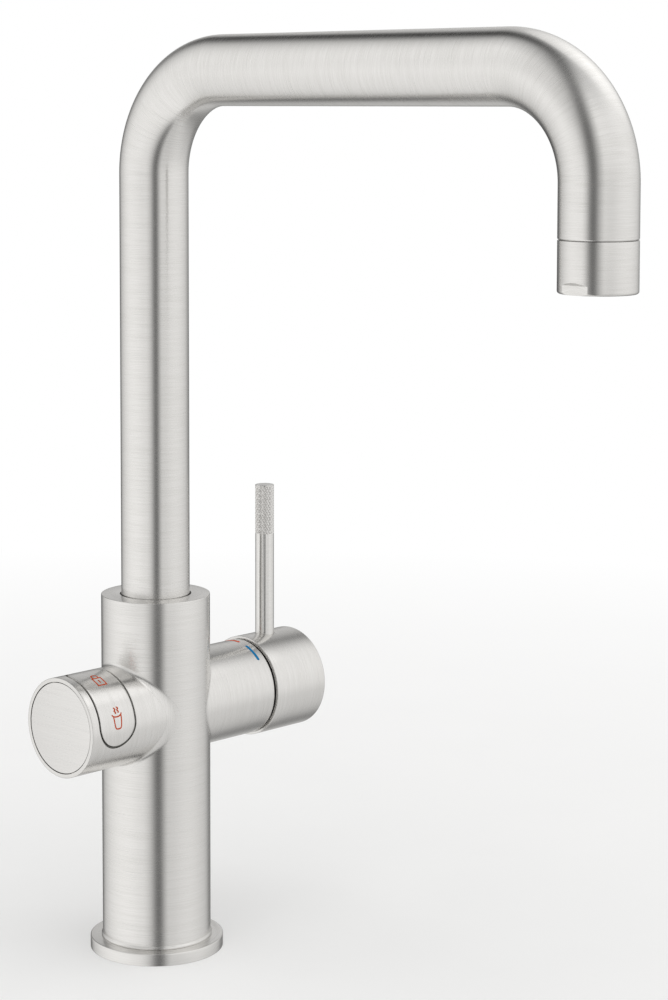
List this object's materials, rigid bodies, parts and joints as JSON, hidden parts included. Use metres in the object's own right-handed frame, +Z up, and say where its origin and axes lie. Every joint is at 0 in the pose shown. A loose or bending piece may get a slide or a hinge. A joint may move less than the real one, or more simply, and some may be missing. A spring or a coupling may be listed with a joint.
{
  "type": "boiling water tap",
  "caption": "Single-hole kitchen tap with a square-shouldered swivel spout, a side mixer lever with an upright pin, and a side housing with a rocking button for boiling water.",
  "frame": {"origin": "centre of the underside of the base flange, on the axis of the fixing thread", "axes": "+Z up along the column, -Y towards the outlet of the spout, +X towards the mixer lever, -X towards the button control"},
  "size_m": [0.1302, 0.2664, 0.3744],
  "materials": {
    "brushed_steel": "satin stainless, brushed round every tube and housing",
    "brass": "turned brass",
    "seal_rubber": "matt black seal rubber",
    "dark_plastic": "matt dark grey moulding",
    "pale_plastic": "natural pale moulding",
    "ceramic": "lapped white ceramic",
    "plain_steel": "plain turned stainless steel",
    "zinc": "die-cast zinc, unpolished",
    "circuit_board": "green circuit board",
    "switch_plastic": "dark grey switch housing",
    "aerator_plastic": "grey moulding"
  },
  "bodies": {
    "root": {"column_shell": "brushed_steel", "control_housing": "brushed_steel", "mixer_housing": "brushed_steel", "base_flange": "brushed_steel", "base_gasket": "seal_rubber", "shank_socket": "brass", "waterway_block": "brass", "boiling_riser": "plain_steel", "riser_seal": "seal_rubber", "glide_ring": "dark_plastic", "thrust_washer": "pale_plastic", "swivel_stop_screw": "plain_steel", "cartridge_body": "pale_plastic", "cartridge_seals": "seal_rubber", "fixed_disc": "ceramic", "cartridge_nut": "brass", "dome_cover": "dark_plastic", "end_cap": "brushed_steel", "end_cap_seal": "seal_rubber", "button_membrane": "seal_rubber", "button_pivot_pin": "plain_steel", "control_carrier": "dark_plastic", "control_board": "circuit_board", "tactile_switches": "switch_plastic", "cable_socket": "pale_plastic"},
    "rotor": {"cartridge_rotor": "pale_plastic", "lever_pivot_pin": "plain_steel"},
    "lever": {"lever_stem": "plain_steel", "lever_hub": "zinc", "lever_cap": "brushed_steel", "lever_pin": "brushed_steel", "lever_grub_screw": "plain_steel"},
    "disc": {"moving_disc": "ceramic", "disc_carrier": "pale_plastic"},
    "spout": {"spout_pipe": "brushed_steel", "spout_spigot": "brass", "spigot_seals": "seal_rubber", "boiling_tube": "plain_steel", "outlet_adapter": "brass", "outlet_sleeve": "brushed_steel", "aerator_body": "aerator_plastic", "aerator_screen": "aerator_plastic", "aerator_seal": "seal_rubber", "boiling_nozzle": "dark_plastic"},
    "button": {"button_plate": "brushed_steel"}
  },
  "joints": [
    {"name": "spout_swivel", "type": "hinge", "parent": "root", "child": "spout", "pos_m": [0, 0, 0.133], "axis": [0, 0, 1], "range_deg": [-75, 75]},
    {"name": "temperature_turn", "type": "hinge", "parent": "root", "child": "rotor", "pos_m": [0.0332, 0, 0.1003], "axis": [1, 0, 0], "range_deg": [-30, 60]},
    {"name": "lever_tilt", "type": "hinge", "parent": "rotor", "child": "lever", "pos_m": [0.0332, 0, 0.1003], "axis": [0, 1, 0], "range_deg": [0, 20]},
    {"name": "disc_slide", "type": "slide", "parent": "rotor", "child": "disc", "axis": [0, 0, 1], "range_m": [0, 0.0052]},
    {"name": "button_rock", "type": "hinge", "parent": "root", "child": "button", "pos_m": [-0.03815, -0.01245, 0.11275], "axis": [1, 0, 0], "range_deg": [-1.5, 1.5], "stiffness_Nm_per_rad": 0.4}
  ],
  "couplings": [
    {"joint": "disc_slide", "follows": "lever_tilt", "m_per_rad": 0.0145}
  ]
}
